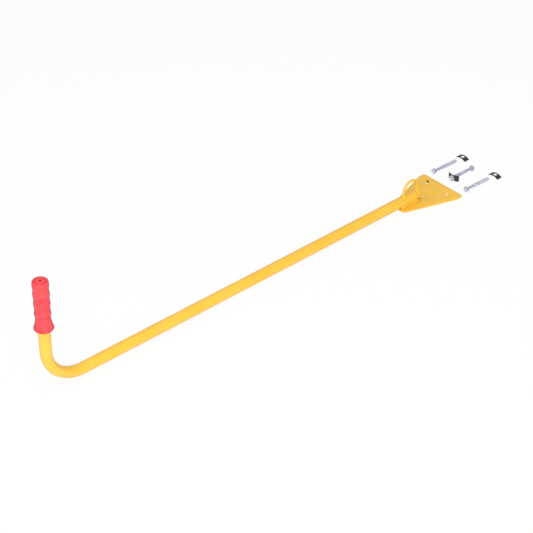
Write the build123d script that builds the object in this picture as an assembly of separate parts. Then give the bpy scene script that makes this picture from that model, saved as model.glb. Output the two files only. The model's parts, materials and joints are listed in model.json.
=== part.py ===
from build123d import *
import math
import os

# Bolt-on lever: a bent round tube with a ribbed grip on its short upright end and a welded
# three-hole mounting plate on its long end, with a round-bar eye beside the plate and the
# loose fixing kit (bolts, saddle washers, nut) lying beside it.
#
# Frame: millimetres, +Z up. The origin is on the plate's underside, midway between its two
# far holes. The long tube runs towards -X, and +Y is the left side seen from the grip.

# ---- tube ----
TUBE_OD = 25.4
TUBE_WALL = 2.0
BEND_RADIUS = 84.5            # centreline
BEND_ANGLE = 90.9             # a little past square, so the handle leans towards the plate
CORNER_X = -1127.0            # where the handle's axis would meet the long run's axis
TUBE_END_X = -65.0            # cut end over the plate
HANDLE_LENGTH = 257.5         # along the handle's axis, from that corner to the tube's upper end

# ---- mounting plate ----
PLATE_THICKNESS = 4.0
PLATE_FAR_X = 24.0
PLATE_SHOULDER_X = 5.0        # where the parallel sides end and the taper starts
PLATE_NEAR_X = -130.0
PLATE_FAR_WIDTH = 127.0
PLATE_NEAR_WIDTH = 40.0
PLATE_CORNER_RADIUS = 5.0
BOLT_HOLE_RADIUS = 4.5
FAR_HOLE_SPACING = 66.0
NEAR_HOLE_X = -48.0

TUBE_AXIS_Z = PLATE_THICKNESS + TUBE_OD / 2
TUBE_TOP_Z = TUBE_AXIS_Z + TUBE_OD / 2

# ---- eye, a round bar bent to an arch on top of the tube ----
EYE_BAR_DIA = 6.0
EYE_X = -89.5
EYE_RADIUS = 22.5             # centreline
EYE_LEG = 11.0                # straight height of each leg above the tube's top
EYE_SUNK = 2.0                # what each leg runs on below that before it is cut to the tube

# ---- weld beads ----
WELD_LEG = 8.0                # width of a side bead on the plate, outside the tangent gap
WELD_ROOT_Y = 5.0             # where a side bead starts under the tube
WELD_TOE_ANGLE = 20.0         # of its upper toe, down round the tube from the tube's widest point
WELD_BULGE = 0.6              # how far its face stands out past a straight fillet
WELD_START_X = -126.0
WELD_END_X = -70.0
END_WELD_LEG = 4.5
END_WELD_HALF_WIDTH = 7.0
END_WELD_FULLNESS = 0.6       # 0.5 is a flat face, more is rounder
EYE_WELD_THROAT = 3.0         # bead standing out round each leg of the eye
EYE_WELD_LIP = 0.4            # what is left of it at the bead's top
EYE_WELD_HEIGHT = 4.0         # above the tube's top
EYE_WELD_SUNK = 3.0           # below it, down the tube's sides

# ---- grip ----
GRIP_LENGTH = 116.0
GRIP_CAP = 4.0                # closed end over the tube's end
GRIP_FLANGE_RADIUS = 20.8
GRIP_FLANGE_THICKNESS = 5.0
GRIP_FLANGE_EDGE = 1.5        # how far the flange's rounded rim stands out
GRIP_CREST_RADIUS = 17.2
GRIP_VALLEY_RADIUS = 16.2     # of the highest valley
GRIP_VALLEY_TAPER = 0.2       # each lower valley is this much deeper
GRIP_RIB_PITCH = 22.8
GRIP_TOP_CREST = 10.0         # from the grip's top down to its highest crest
GRIP_RIBS = 4
GRIP_RIM_RADIUS = 16.8
GRIP_EDGE_RADIUS = 3.0
GRIP_VENT_RADIUS = 1.5

# ---- fixing kit, M8 ----
BOLT_LENGTH = 75.0
BOLT_THREAD_RADIUS = 4.0
BOLT_SHANK_RADIUS = 3.6       # rolled-thread blank, thinner than the thread
BOLT_PLAIN_LENGTH = 22.0
BOLT_TIP_CHAMFER = 1.0
BOLT_THREAD_RUNOUT = 0.6
HEAD_HEIGHT = 5.3
HEX_FLATS = 13.0
HEX_CHAMFER_ANGLE = 30.0
NUT_HEIGHT = 6.5
NUT_BORE_CLEARANCE = 0.05
NUT_COUNTERSINK = 0.6
HEX_FLAT_DOWN = 30.0          # turn that puts a flat, not a corner, at the bottom
WASHER_LENGTH = 15.0          # along the clamped pipe
WASHER_CHORD = 30.5           # across it
WASHER_THICKNESS = 1.5
WASHER_INNER_RADIUS = 24.0    # of the pipe that it seats on
WASHER_HOLE_RADIUS = 4.8

# ---- where the fixing kit lies ----
SIDE_BOLT_X = 43.8            # outer face of a side bolt's head
SIDE_BOLT_Y = 53.3
SIDE_WASHER_X = 148.0
SIDE_WASHER_Y = 53.5
MIDDLE_BOLT_Y = 2.0
MIDDLE_SEAT_X = 122.3         # under the middle bolt's head
MIDDLE_SEAT_Z = 6.62          # axis height there, with the head just clear of the floor
MIDDLE_WASHER_X = 59.2        # the washer's inner face on the middle bolt, at its hole
MIDDLE_WASHER_TURN = 7.0      # how far it stands askew on the bolt, seen from above
MIDDLE_NUT_GAP = 0.25         # which that leaves between it and the nut
MIDDLE_NUT_TURN = 12.0        # how the nut happens to stand
MIDDLE_WASHER_Z = 7.8         # axis height there, so the washer's edge and the nut just clear the floor

os.makedirs("parts", exist_ok=True)


def save(shape, name):
    export_step(shape, f"parts/{name}.step")


def along_x(x, y=0.0, z=0.0):
    """A plane whose normal is +X, with its local x along +Y and local y along +Z."""
    return Plane(origin=(x, y, z), x_dir=(0, 1, 0), z_dir=(1, 0, 0))


# ---- lever ----

def handle_plane(distance):
    """The plane square to the handle's axis at this distance up from the corner."""
    lean = math.radians(BEND_ANGLE - 90)
    up = (math.sin(lean), 0, math.cos(lean))
    origin = (CORNER_X + distance * up[0], 0, TUBE_AXIS_Z + distance * up[2])
    return Plane(origin=origin, x_dir=(up[2], 0, -up[0]), z_dir=up)


def tube_path():
    tangent = BEND_RADIUS * math.tan(math.radians(BEND_ANGLE / 2))
    bend_start = Vector(CORNER_X + tangent, 0, TUBE_AXIS_Z)
    half_turn = math.radians(BEND_ANGLE / 2)
    middle_shift = Vector(-math.sin(half_turn), 0, 1 - math.cos(half_turn)) * BEND_RADIUS
    bend_end = handle_plane(tangent).origin
    handle_end = handle_plane(HANDLE_LENGTH).origin
    run = Line((TUBE_END_X, 0, TUBE_AXIS_Z), bend_start)
    bend = ThreePointArc(bend_start, bend_start + middle_shift, bend_end)
    upright = Line(bend_end, handle_end)
    return Wire([run, bend, upright])


def make_main_tube():
    outer = TUBE_OD / 2
    section = along_x(TUBE_END_X, 0, TUBE_AXIS_Z) * (Circle(outer) - Circle(outer - TUBE_WALL))
    return sweep(section, path=tube_path())


def make_mounting_plate():
    far = PLATE_FAR_WIDTH / 2
    near = PLATE_NEAR_WIDTH / 2
    outline = Polyline(
        (PLATE_FAR_X, -far), (PLATE_FAR_X, far), (PLATE_SHOULDER_X, far),
        (PLATE_NEAR_X, near), (PLATE_NEAR_X, -near), (PLATE_SHOULDER_X, -far),
        close=True)
    face = make_face(outline)
    face = fillet(face.vertices(), PLATE_CORNER_RADIUS)
    holes = [(0, FAR_HOLE_SPACING / 2), (0, -FAR_HOLE_SPACING / 2), (NEAR_HOLE_X, 0)]
    for place in holes:
        face -= Pos(*place) * Circle(BOLT_HOLE_RADIUS)
    return extrude(face, PLATE_THICKNESS)


def tube_blank():
    """The tube's outside over the plate as a solid bar, to cut a neighbour to its round."""
    length = PLATE_FAR_X - PLATE_NEAR_X
    bar = Cylinder(TUBE_OD / 2, length, rotation=(0, 90, 0))
    return Pos(PLATE_NEAR_X + length / 2, 0, TUBE_AXIS_Z) * bar


def make_plate_weld(side):
    """A fillet bead in the gap between the tube's side and the plate. side is +1 or -1."""
    toe_angle = math.radians(WELD_TOE_ANGLE)
    toe_y = TUBE_OD / 2 * math.cos(toe_angle)
    toe_z = TUBE_AXIS_Z - TUBE_OD / 2 * math.sin(toe_angle)
    root = (WELD_ROOT_Y, PLATE_THICKNESS)
    foot = (WELD_ROOT_Y + WELD_LEG, PLATE_THICKNESS)
    bulge = ((foot[0] + toe_y) / 2 + WELD_BULGE, (foot[1] + toe_z) / 2)
    outline = [
        Line(root, foot),
        ThreePointArc(foot, bulge, (toe_y, toe_z)),
        Line((toe_y, toe_z), (WELD_ROOT_Y, TUBE_AXIS_Z)),
        Line((WELD_ROOT_Y, TUBE_AXIS_Z), root),
    ]
    section = along_x(WELD_START_X) * make_face(outline)
    bead = extrude(section, WELD_END_X - WELD_START_X, dir=(1, 0, 0)) - tube_blank()
    if side < 0:
        bead = mirror(bead, about=Plane.XZ)
    return bead


def make_plate_weld_end():
    """A short fillet bead across the foot of the tube's cut end."""
    corner = (TUBE_END_X, PLATE_THICKNESS)
    toe = (TUBE_END_X + END_WELD_LEG, PLATE_THICKNESS)
    top = (TUBE_END_X, PLATE_THICKNESS + END_WELD_LEG)
    reach = END_WELD_LEG * END_WELD_FULLNESS
    middle = (TUBE_END_X + reach, PLATE_THICKNESS + reach)
    outline = [Line(corner, toe), ThreePointArc(toe, middle, top), Line(top, corner)]
    section = Plane.XZ * make_face(outline)
    return extrude(section, END_WELD_HALF_WIDTH, both=True)


def eye_path(foot_z):
    spring_z = TUBE_TOP_Z + EYE_LEG
    rear = EYE_X - EYE_RADIUS
    front = EYE_X + EYE_RADIUS
    crown = (EYE_X, 0, spring_z + EYE_RADIUS)
    return Wire([
        Line((rear, 0, foot_z), (rear, 0, spring_z)),
        ThreePointArc((rear, 0, spring_z), crown, (front, 0, spring_z)),
        Line((front, 0, spring_z), (front, 0, foot_z)),
    ])


def make_eye_loop():
    foot_z = TUBE_TOP_Z - EYE_SUNK
    section = Pos(EYE_X - EYE_RADIUS, 0, foot_z) * Circle(EYE_BAR_DIA / 2)
    return sweep(section, path=eye_path(foot_z)) - tube_blank()


def make_eye_weld(side, eye):
    """A collar of weld round one foot of the eye. side is -1 for the rear foot, +1 for the front."""
    bar = EYE_BAR_DIA / 2
    cone = Cone(bar + EYE_WELD_THROAT, bar + EYE_WELD_LIP, EYE_WELD_HEIGHT + EYE_WELD_SUNK)
    middle_z = TUBE_TOP_Z + (EYE_WELD_HEIGHT - EYE_WELD_SUNK) / 2
    place = Pos(EYE_X + side * EYE_RADIUS, 0, middle_z)
    return place * cone - tube_blank() - eye


def grip_side():
    """The grip's ribbed side as (radius, height) points from the top crest down: crest, valley, crest ..."""
    points = []
    for rib in range(GRIP_RIBS):
        crest_height = GRIP_LENGTH - GRIP_TOP_CREST - rib * GRIP_RIB_PITCH
        valley_radius = GRIP_VALLEY_RADIUS - rib * GRIP_VALLEY_TAPER
        points.append((GRIP_CREST_RADIUS, crest_height))
        points.append((valley_radius, crest_height - GRIP_RIB_PITCH / 2))
    return points


def make_grip():
    """A blind moulded sleeve turned round the handle axis: domed rim, ribs, a flare and a flange."""
    bore = TUBE_OD / 2
    bore_top = GRIP_LENGTH - GRIP_CAP
    round_off = GRIP_EDGE_RADIUS * math.sin(math.radians(45))
    edge_centre = (GRIP_RIM_RADIUS - GRIP_EDGE_RADIUS, GRIP_LENGTH - GRIP_EDGE_RADIUS)
    rim_top = (edge_centre[0], GRIP_LENGTH)
    rim_middle = (edge_centre[0] + round_off, edge_centre[1] + round_off)
    rim_side = (GRIP_RIM_RADIUS, edge_centre[1])
    flange_neck = GRIP_FLANGE_RADIUS - GRIP_FLANGE_EDGE
    flange_top = (flange_neck, GRIP_FLANGE_THICKNESS)
    flange_rim = (GRIP_FLANGE_RADIUS, GRIP_FLANGE_THICKNESS / 2)
    flange_foot = (flange_neck, 0)
    outline = [
        Line((GRIP_VENT_RADIUS, GRIP_LENGTH), rim_top),
        ThreePointArc(rim_top, rim_middle, rim_side),
        Spline(rim_side, *grip_side(), flange_top),
        ThreePointArc(flange_top, flange_rim, flange_foot),
        Line(flange_foot, (bore, 0)),
        Line((bore, 0), (bore, bore_top)),
        Line((bore, bore_top), (GRIP_VENT_RADIUS, bore_top)),
        Line((GRIP_VENT_RADIUS, bore_top), (GRIP_VENT_RADIUS, GRIP_LENGTH)),
    ]
    section = Plane.XZ * make_face(outline)
    foot = handle_plane(HANDLE_LENGTH + GRIP_CAP - GRIP_LENGTH)
    return foot.location * revolve(section, Axis.Z)


# ---- fixing kit ----

def hex_bar(height, chamfer_low_end):
    """A hexagonal prism standing on z = 0 with the corners of its top, or of both ends, turned off."""
    flat = HEX_FLATS / 2
    corner = flat / math.cos(math.radians(30))
    drop = (corner - flat) * math.tan(math.radians(HEX_CHAMFER_ANGLE))
    low_end = [(flat, 0), (corner, drop)] if chamfer_low_end else [(corner, 0)]
    high_end = [(corner, height - drop), (flat, height)]
    outline = Polyline((0, 0), *low_end, *high_end, (0, height), close=True)
    turned = revolve(Plane.XZ * make_face(outline), Axis.Z)
    return extrude(RegularPolygon(corner, 6), height) & turned


def make_bolt_standing():
    """A hex bolt, head up: the head's seat is at z = 0 and the tip points down."""
    tip = -BOLT_LENGTH
    outline = Polyline(
        (0, 0), (BOLT_SHANK_RADIUS, 0), (BOLT_SHANK_RADIUS, -BOLT_PLAIN_LENGTH),
        (BOLT_THREAD_RADIUS, -BOLT_PLAIN_LENGTH - BOLT_THREAD_RUNOUT),
        (BOLT_THREAD_RADIUS, tip + BOLT_TIP_CHAMFER),
        (BOLT_THREAD_RADIUS - BOLT_TIP_CHAMFER, tip), (0, tip), close=True)
    shank = revolve(Plane.XZ * make_face(outline), Axis.Z)
    return hex_bar(HEAD_HEIGHT, chamfer_low_end=False) + shank


def make_nut_standing():
    nut = hex_bar(NUT_HEIGHT, chamfer_low_end=True)
    bore_radius = BOLT_THREAD_RADIUS + NUT_BORE_CLEARANCE
    bore = Pos(0, 0, NUT_HEIGHT / 2) * Cylinder(bore_radius, NUT_HEIGHT + 1)
    mouth = Cone(bore_radius + NUT_COUNTERSINK, bore_radius, NUT_COUNTERSINK)
    nut -= bore
    nut -= Pos(0, 0, NUT_COUNTERSINK / 2) * mouth
    nut -= Pos(0, 0, NUT_HEIGHT - NUT_COUNTERSINK / 2) * mirror(mouth, about=Plane.XY)
    return nut


def washer_half_angle():
    return math.asin(WASHER_CHORD / 2 / (WASHER_INNER_RADIUS + WASHER_THICKNESS))


def make_washer_arched():
    """A saddle washer, arch up: the inner face's crown is at the origin, the arch's axis is along X."""
    outer = WASHER_INNER_RADIUS + WASHER_THICKNESS
    ring = Circle(outer) - Circle(WASHER_INNER_RADIUS)
    side = 2 * outer * math.sin(washer_half_angle())
    height = 2 * outer * math.cos(washer_half_angle())
    wedge = make_face(Polyline((0, 0), (side, height), (-side, height), close=True))
    section = along_x(0, 0, -WASHER_INNER_RADIUS) * (ring & wedge)
    arch = extrude(section, WASHER_LENGTH / 2, both=True)
    return arch - Cylinder(WASHER_HOLE_RADIUS, 4 * WASHER_THICKNESS)


def washer_sag():
    """How far the arch's ends lie below its inner crown."""
    return WASHER_INNER_RADIUS * (1 - math.cos(washer_half_angle()))


def place_side_bolt(bolt, y):
    """Lying along X with its head towards the plate, resting on a flat of the head and on the tip."""
    tilt = math.degrees(math.asin((HEX_FLATS / 2 - BOLT_THREAD_RADIUS) / BOLT_LENGTH))
    lie = Rot(0, -90 + tilt, 0) * Rot(0, 0, HEX_FLAT_DOWN)
    seat = Pos(SIDE_BOLT_X + HEAD_HEIGHT, y, HEX_FLATS / 2)
    return seat * lie * bolt


def make_middle_set(bolt, washer, nut):
    """The middle bolt lies with its head away from the plate, with the washer and nut threaded on."""
    seat = Pos(MIDDLE_SEAT_X, MIDDLE_BOLT_Y, MIDDLE_SEAT_Z)
    rise = MIDDLE_WASHER_Z - MIDDLE_SEAT_Z
    run = MIDDLE_SEAT_X - MIDDLE_WASHER_X
    tilt = math.degrees(math.atan2(rise, run))
    lie = seat * Rot(0, tilt, 0)
    inner_face = Pos(MIDDLE_WASHER_X - MIDDLE_SEAT_X, 0, 0)
    placed_bolt = lie * Rot(0, 90, 0) * Rot(0, 0, HEX_FLAT_DOWN) * bolt
    placed_washer = lie * inner_face * Rot(0, -90, 0) * Rot(MIDDLE_WASHER_TURN, 0, 0) * washer
    nut_seat = Pos(-WASHER_THICKNESS - MIDDLE_NUT_GAP, 0, 0)
    placed_nut = lie * inner_face * nut_seat * Rot(0, -90, 0) * Rot(0, 0, MIDDLE_NUT_TURN) * nut
    return placed_bolt, placed_washer, placed_nut


def main():
    save(make_main_tube(), "main_tube")
    save(make_mounting_plate(), "mounting_plate")
    save(make_plate_weld(1), "plate_weld_left")
    save(make_plate_weld(-1), "plate_weld_right")
    save(make_plate_weld_end(), "plate_weld_end")
    eye = make_eye_loop()
    save(eye, "eye_loop")
    save(make_eye_weld(-1, eye), "eye_weld_rear")
    save(make_eye_weld(1, eye), "eye_weld_front")
    save(make_grip(), "grip")

    bolt = make_bolt_standing()
    washer = make_washer_arched()
    nut = make_nut_standing()
    save(place_side_bolt(bolt, SIDE_BOLT_Y), "bolt_left")
    save(place_side_bolt(bolt, -SIDE_BOLT_Y), "bolt_right")
    washer_place = Pos(SIDE_WASHER_X, 0, washer_sag())
    save(washer_place * Pos(0, SIDE_WASHER_Y, 0) * washer, "saddle_washer_left")
    save(washer_place * Pos(0, -SIDE_WASHER_Y, 0) * washer, "saddle_washer_right")
    middle_bolt, middle_washer, middle_nut = make_middle_set(bolt, washer, nut)
    save(middle_bolt, "bolt_middle")
    save(middle_washer, "saddle_washer_middle")
    save(middle_nut, "hex_nut")


main()
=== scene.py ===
import json
import math

import bmesh
import bpy
from mathutils import Matrix, Vector, noise


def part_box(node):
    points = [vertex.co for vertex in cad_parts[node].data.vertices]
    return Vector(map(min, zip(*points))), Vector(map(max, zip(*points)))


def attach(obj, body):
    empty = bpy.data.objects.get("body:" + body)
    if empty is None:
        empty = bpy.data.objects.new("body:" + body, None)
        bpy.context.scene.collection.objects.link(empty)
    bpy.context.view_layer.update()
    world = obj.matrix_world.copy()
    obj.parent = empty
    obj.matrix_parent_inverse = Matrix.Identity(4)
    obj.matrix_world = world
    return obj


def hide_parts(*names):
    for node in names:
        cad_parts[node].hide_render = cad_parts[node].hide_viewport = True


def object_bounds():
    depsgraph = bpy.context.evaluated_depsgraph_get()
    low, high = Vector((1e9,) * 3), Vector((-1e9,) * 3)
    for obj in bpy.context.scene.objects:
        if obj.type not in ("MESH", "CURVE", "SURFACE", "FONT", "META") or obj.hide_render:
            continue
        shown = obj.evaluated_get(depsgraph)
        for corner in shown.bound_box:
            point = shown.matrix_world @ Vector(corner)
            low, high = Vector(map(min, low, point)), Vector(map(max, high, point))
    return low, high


# The looks of a bolt-on lever: a yellow powder-coated bent tube with a ribbed red grip, a welded
# plate and an eye, and its loose kit of bolts, saddle washers and a nut. Each piece stands for one
# CAD node. Shapes are worked out in millimetres, in the row frame, and become metres in a mesh.

MM = 0.001
TURN = 2 * math.pi
UP = Vector((0, 0, 1))
ALONG = Vector((1, 0, 0))
SIDE = Vector((0, 1, 0))
MERGE_WITHIN = 1e-7           # metres
WANDER_APART = (7.31, 3.17)   # sets apart the lines through the noise that different seeds read

# Angles in degrees above which an edge stays sharp when the faces beside it are shaded smooth.
TUBE_CREASE = 35
PLATE_CREASE = 50
BEAD_CREASE = 60
GRIP_CREASE = 50
KIT_CREASE = 40

# ---- tube ----
TUBE_WALL = 2.0
TUBE_ROUND = 72               # points round the tube
TUBE_RUN_STEPS = 40
TUBE_HANDLE_STEPS = 14
TUBE_EDGE = 0.45              # rounding of its cut ends
TUBE_EDGE_TURNS = (0, 30, 60, 90)   # degrees round it
BEND_RADIUS = 84.5
BEND_ANGLE = math.radians(90.9)
BEND_STEPS = 56
BEND_FLATTEN = 0.035          # how much thinner the tube is across the bend
BEND_WIDEN = 0.02
BEND_BLEND = 0.22             # share of the bend over which that builds up

# ---- plate ----
PLATE_SHOULDER = 19.0         # length of the parallel sides
PLATE_NEAR_WIDTH = 40.0
PLATE_CORNER = 5.0
PLATE_EDGE = 0.55             # rounding of the coated edges
PLATE_EDGE_STEPS = 4
PLATE_CORNER_STEPS = 10
PLATE_HOLE_ROUND = 48

# ---- weld beads ----
RIPPLE_PITCH = 2.3
RIPPLE_HEIGHT = 0.24
RIPPLE_BOW = 1.3              # how far a ripple's middle runs ahead of its ends
RIPPLE_MEAN = 0.5             # of its crescent, so that ripples rise and sink about the bead's face
RIPPLE_FADE = 0.2             # ripples fade out where the bead's arch is lower than this share
BEAD_STEP = 0.32
BEAD_FACE_POINTS = 15
BEAD_SINK = 0.12              # how far a bead reaches into what it joins
BEAD_END = 5.0                # length over which a bead rounds off at its ends
SIDE_BEAD_TIP = 0.06          # share of its section left at its ends
SIDE_BEAD_ROOT = 5.0          # its inner edge on the plate, from the tube's middle
SIDE_BEAD_ROOT_POINTS = 5
SIDE_BEAD_ROOT_GAP = 0.02     # radians that the toe keeps from the root
SIDE_BEAD_FOOT = 13.0         # its outer edge on the plate, from there too
SIDE_BEAD_FOOT_WANDER = 0.35
SIDE_BEAD_FOOT_WAVE = 6
SIDE_BEAD_TOE = math.radians(20)    # its edge on the tube, down from the tube's side
SIDE_BEAD_TOE_WANDER = 0.05   # radians
SIDE_BEAD_TOE_WAVE = 5
SIDE_BEAD_BULGE = 0.7
END_BEAD_TIP = 0.1
END_BEAD_BLUNT = 1.6          # how much more abruptly it ends than a side bead
END_BEAD_REACH = 4.2
END_BEAD_WANDER = 0.06        # share of that reach
END_BEAD_WAVE = 4
END_BEAD_BACK = 0.8           # how far it fills in under the tube
END_BEAD_RIM = 11.4           # radius in the tube's wall that it climbs to
END_BEAD_LIP = 0.5            # how far it stands over that
END_BEAD_BULGE = 0.5
END_BEAD_RIPPLE = 0.8         # share of a side bead's ripple
COLLAR_ROUND = 72
COLLAR_FACE_STEPS = 12
COLLAR_THROAT = 2.4
COLLAR_HEIGHT = 3.4
COLLAR_SINK = 0.1             # into the bar
COLLAR_FLOOR = 0.5            # into the tube
COLLAR_SOLE = 0.6             # share of the throat where the underside starts
COLLAR_WANDER = 0.18
COLLAR_WANDER_ROUND = 8.0     # radius of the circle that the wander is read along
COLLAR_WAVE = 4
COLLAR_BULGE = 0.35
COLLAR_RIPPLES = 9
COLLAR_RIPPLE = 0.28
COLLAR_BOW = 0.5              # share of a ripple that its middle runs ahead

# ---- eye ----
EYE_ROUND = 32
EYE_LEG_STEPS = 6
EYE_STEPS = 48
EYE_FLATTEN = 0.03            # how much thinner the bar is at the top of its bend

# ---- grip ----
GRIP_ROUND = 144
GRIP_CAP = 4.0
GRIP_BORE_GAP = 0.05          # round the tube
GRIP_BORE_CHAMFER = 0.6
GRIP_FLANGE = 20.8
GRIP_FLANGE_THICKNESS = 5.0
GRIP_SHOULDER = 1.4           # how far inside the flange's rim its upper face ends
GRIP_SHOULDER_RISE = 0.6      # how far over the flange that is
GRIP_LIP_START = 62           # degrees round the lip's edge, down to its underside
GRIP_LIP_STEPS = 12
GRIP_CREST = 17.2
GRIP_VALLEY = 16.1
GRIP_VALLEY_TAPER = 0.2
GRIP_RIB_PITCH = 22.8
GRIP_TOP_CREST = 10.0
GRIP_RIBS = 4
GRIP_RIB_STEPS = 10
GRIP_VENT = 1.6
# Radius and height over the solid's flat top, from the vent's edge over the crown and the ring
# groove to the side.
GRIP_DOME = (
    (1.6, -0.8), (2.1, 0.0), (3.3, 0.8), (5.0, 1.1), (8.0, 1.05), (9.6, 0.8), (10.6, 0.0),
    (11.8, -0.7), (13.0, -0.2), (13.9, 0.0), (15.2, -0.9), (16.4, -2.7), (16.8, -4.9))
GRIP_DOME_STEPS = 4
GRIP_SEAM_START = 12.6        # radius from which the mould line shows
GRIP_SEAM_FOOT = 1.0          # height down to which it runs
GRIP_SEAM = 0.16              # height of the mould line

# ---- fixing kit ----
PITCH = 1.25
THREAD_RADIUS = 4.0
THREAD_DEPTH = 0.62
THREAD_SHAPE = (1.0, 1.0, 0.62, 0.2, 0.0, 0.0, 0.2, 0.62)   # one pitch, crest to crest
BLANK_RADIUS = 3.6
PLAIN_LENGTH = 22.0
BOLT_LENGTH = 75.0
TIP_CHAMFER = 1.0
HEAD_HEIGHT = 5.3
HEAD_FLAT = 0.93              # share of the round face that is quite flat
HEAD_FILLET = 0.4             # between the head's seat and the shank
HEAD_FILLET_BEND = 0.3        # how far along it, at 45 degrees, as a share
HEX_HALF = 6.5                # half across the flats
HEX_FLAT = math.pi / 3        # angle that a flat takes
HEX_ROUND = 48
HEX_TOP = 6.15                # radius of the round face inside the chamfer
HEX_CHAMFER = math.radians(30)
HEX_SOFT = 0.1                # how much the corners are worn back
HEX_WORN = 1 / 3              # share of a flat's rise to its corner that is worn
WASHER_FACE = 5.9
WASHER_FACE_HEIGHT = 0.3
NUT_CLEARANCE = 0.06
NUT_MOUTH = 4.65              # radius of its chamfered opening
NUT_TURN = math.radians(-12)
NUT_GAP = 0.25                # between it and its washer, which stands askew
ASKEW = math.radians(7)
SADDLE_LENGTH = 15.0
SADDLE_CHORD = 30.5
SADDLE_THICKNESS = 1.5
SADDLE_BEND = 24.0            # inside radius
SADDLE_HOLE = 4.8
SADDLE_CORNER = 0.9
SADDLE_CORNER_STEPS = 5
SADDLE_EDGE = 0.28
SADDLE_EDGE_BEND = 0.3        # how far along the rounding, at 45 degrees, as a share
SADDLE_ACROSS = 8
SADDLE_STEP = 1.1

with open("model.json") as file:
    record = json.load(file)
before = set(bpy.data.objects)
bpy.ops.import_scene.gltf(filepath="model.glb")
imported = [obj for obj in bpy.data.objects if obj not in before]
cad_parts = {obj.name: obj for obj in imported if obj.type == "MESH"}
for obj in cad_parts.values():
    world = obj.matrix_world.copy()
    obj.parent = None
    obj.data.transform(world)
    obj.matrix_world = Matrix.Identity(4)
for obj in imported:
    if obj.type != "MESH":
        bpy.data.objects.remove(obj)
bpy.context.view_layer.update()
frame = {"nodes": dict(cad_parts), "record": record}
behaviour = frame["record"]["behaviour"]
body_of = {node: body for body, nodes in behaviour["bodies"].items() for node in nodes}
joints = {joint["name"]: joint for joint in behaviour["joints"]}


# ---- measuring the CAD ----

def corners(node):
    """A CAD node's lowest and highest corner."""
    low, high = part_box(node)
    return low / MM, high / MM


def along(node, axis):
    """How far a CAD node reaches along an axis through the origin."""
    reach = [vertex.co.dot(axis) / MM for vertex in frame["nodes"][node].data.vertices]
    return min(reach), max(reach)


plate_low, plate_high = corners("mounting_plate")
tube_low, tube_high = corners("main_tube")
PLATE_TOP = plate_high.z
TUBE_RADIUS = (tube_high.y - tube_low.y) / 2
TUBE_Z = PLATE_TOP + TUBE_RADIUS
LEAN = BEND_ANGLE - math.pi / 2
BEND_TANGENT = BEND_RADIUS * math.tan(BEND_ANGLE / 2)
HANDLE_AXIS = Vector((math.sin(LEAN), 0, math.cos(LEAN)))
BEND_START = Vector((tube_low.x + BEND_RADIUS + TUBE_RADIUS, 0, TUBE_Z))
CORNER = BEND_START - Vector((BEND_TANGENT, 0, 0))
HANDLE_LENGTH = along("main_tube", HANDLE_AXIS)[1] - CORNER.dot(HANDLE_AXIS)


# ---- mesh helpers ----

def smooth(t):
    t = min(1.0, max(0.0, t))
    return t * t * (3 - 2 * t)


def wander(x, seed, size):
    """A slow, repeatable wobble between -1 and 1, whose waves are about size long."""
    return noise.noise(Vector((x / size, seed * WANDER_APART[0], seed * WANDER_APART[1])))


def place(origin, axis, hint):
    """The matrix that takes local z to axis and local x towards hint, at origin."""
    z = axis.normalized()
    x = (hint - z * hint.dot(z)).normalized()
    turned = Matrix((x, z.cross(x), z)).transposed().to_4x4()
    turned.translation = origin
    return turned


def made(shape, name, crease):
    """The object for a finished mesh, with its normals outward and its hard edges kept."""
    bmesh.ops.remove_doubles(shape, verts=shape.verts, dist=MERGE_WITHIN)
    bmesh.ops.recalc_face_normals(shape, faces=shape.faces)
    mesh = bpy.data.meshes.new(name)
    shape.to_mesh(mesh)
    shape.free()
    mesh.polygons.foreach_set("use_smooth", [True] * len(mesh.polygons))
    mesh.set_sharp_from_angle(angle=math.radians(crease))
    piece = bpy.data.objects.new(name, mesh)
    bpy.context.scene.collection.objects.link(piece)
    return piece


def skin(shape, rows, looped, threaded=()):
    """Quads through rows of vertices. A row is a closed ring, but in a threaded range of rows it is
    one turn of a helix, and its end meets the start of the row one pitch above."""
    meets = list(range(len(rows)))
    for row in threaded:
        meets[row] = max(threaded[0], row - len(THREAD_SHAPE))
    pairs = list(zip(meets, meets[1:], range(len(rows)), range(1, len(rows))))
    if looped:
        pairs.append((meets[-1], 0, -1, 0))
    for low_meets, high_meets, low, high in pairs:
        below, above = rows[low] + [rows[low_meets][0]], rows[high] + [rows[high_meets][0]]
        for a, b, c, d in zip(below, below[1:], above[1:], above):
            shape.faces.new(dict.fromkeys((a, b, c, d)))


def loft(name, rings, crease, looped=False, threaded=()):
    """A closed mesh through rings of equally many points: capped, or looped from last to first."""
    shape = bmesh.new()
    rows = [[shape.verts.new(Vector(point) * MM) for point in ring] for ring in rings]
    skin(shape, rows, looped, threaded)
    if not looped:
        shape.faces.new(rows[0])
        shape.faces.new(rows[-1])
    return made(shape, name, crease)


def turned_ring(matrix, radius, height, angles):
    """A ring round local z. radius and height are numbers or functions of the angle."""
    ring = []
    for angle in angles:
        r = radius(angle) if callable(radius) else radius
        h = height(angle) if callable(height) else height
        ring.append(matrix @ Vector((r * math.cos(angle), r * math.sin(angle), h)))
    return ring


def round_angles(count, start=0.0):
    return [start + TURN * i / count for i in range(count)]


def curve_through(points, steps):
    """A smooth line through points in the plane, as points."""
    ends = [points[0]] + list(points) + [points[-1]]
    line = []
    for a, b, c, d in zip(ends, ends[1:], ends[2:], ends[3:]):
        for step in range(steps):
            t = step / steps
            weights = (
                (-t + 2 * t * t - t ** 3) / 2, (2 - 5 * t * t + 3 * t ** 3) / 2,
                (t + 4 * t * t - 3 * t ** 3) / 2, (-t * t + t ** 3) / 2)
            line.append(tuple(
                sum(w * p[k] for w, p in zip(weights, (a, b, c, d))) for k in (0, 1)))
    line.append(tuple(points[-1]))
    return line


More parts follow.
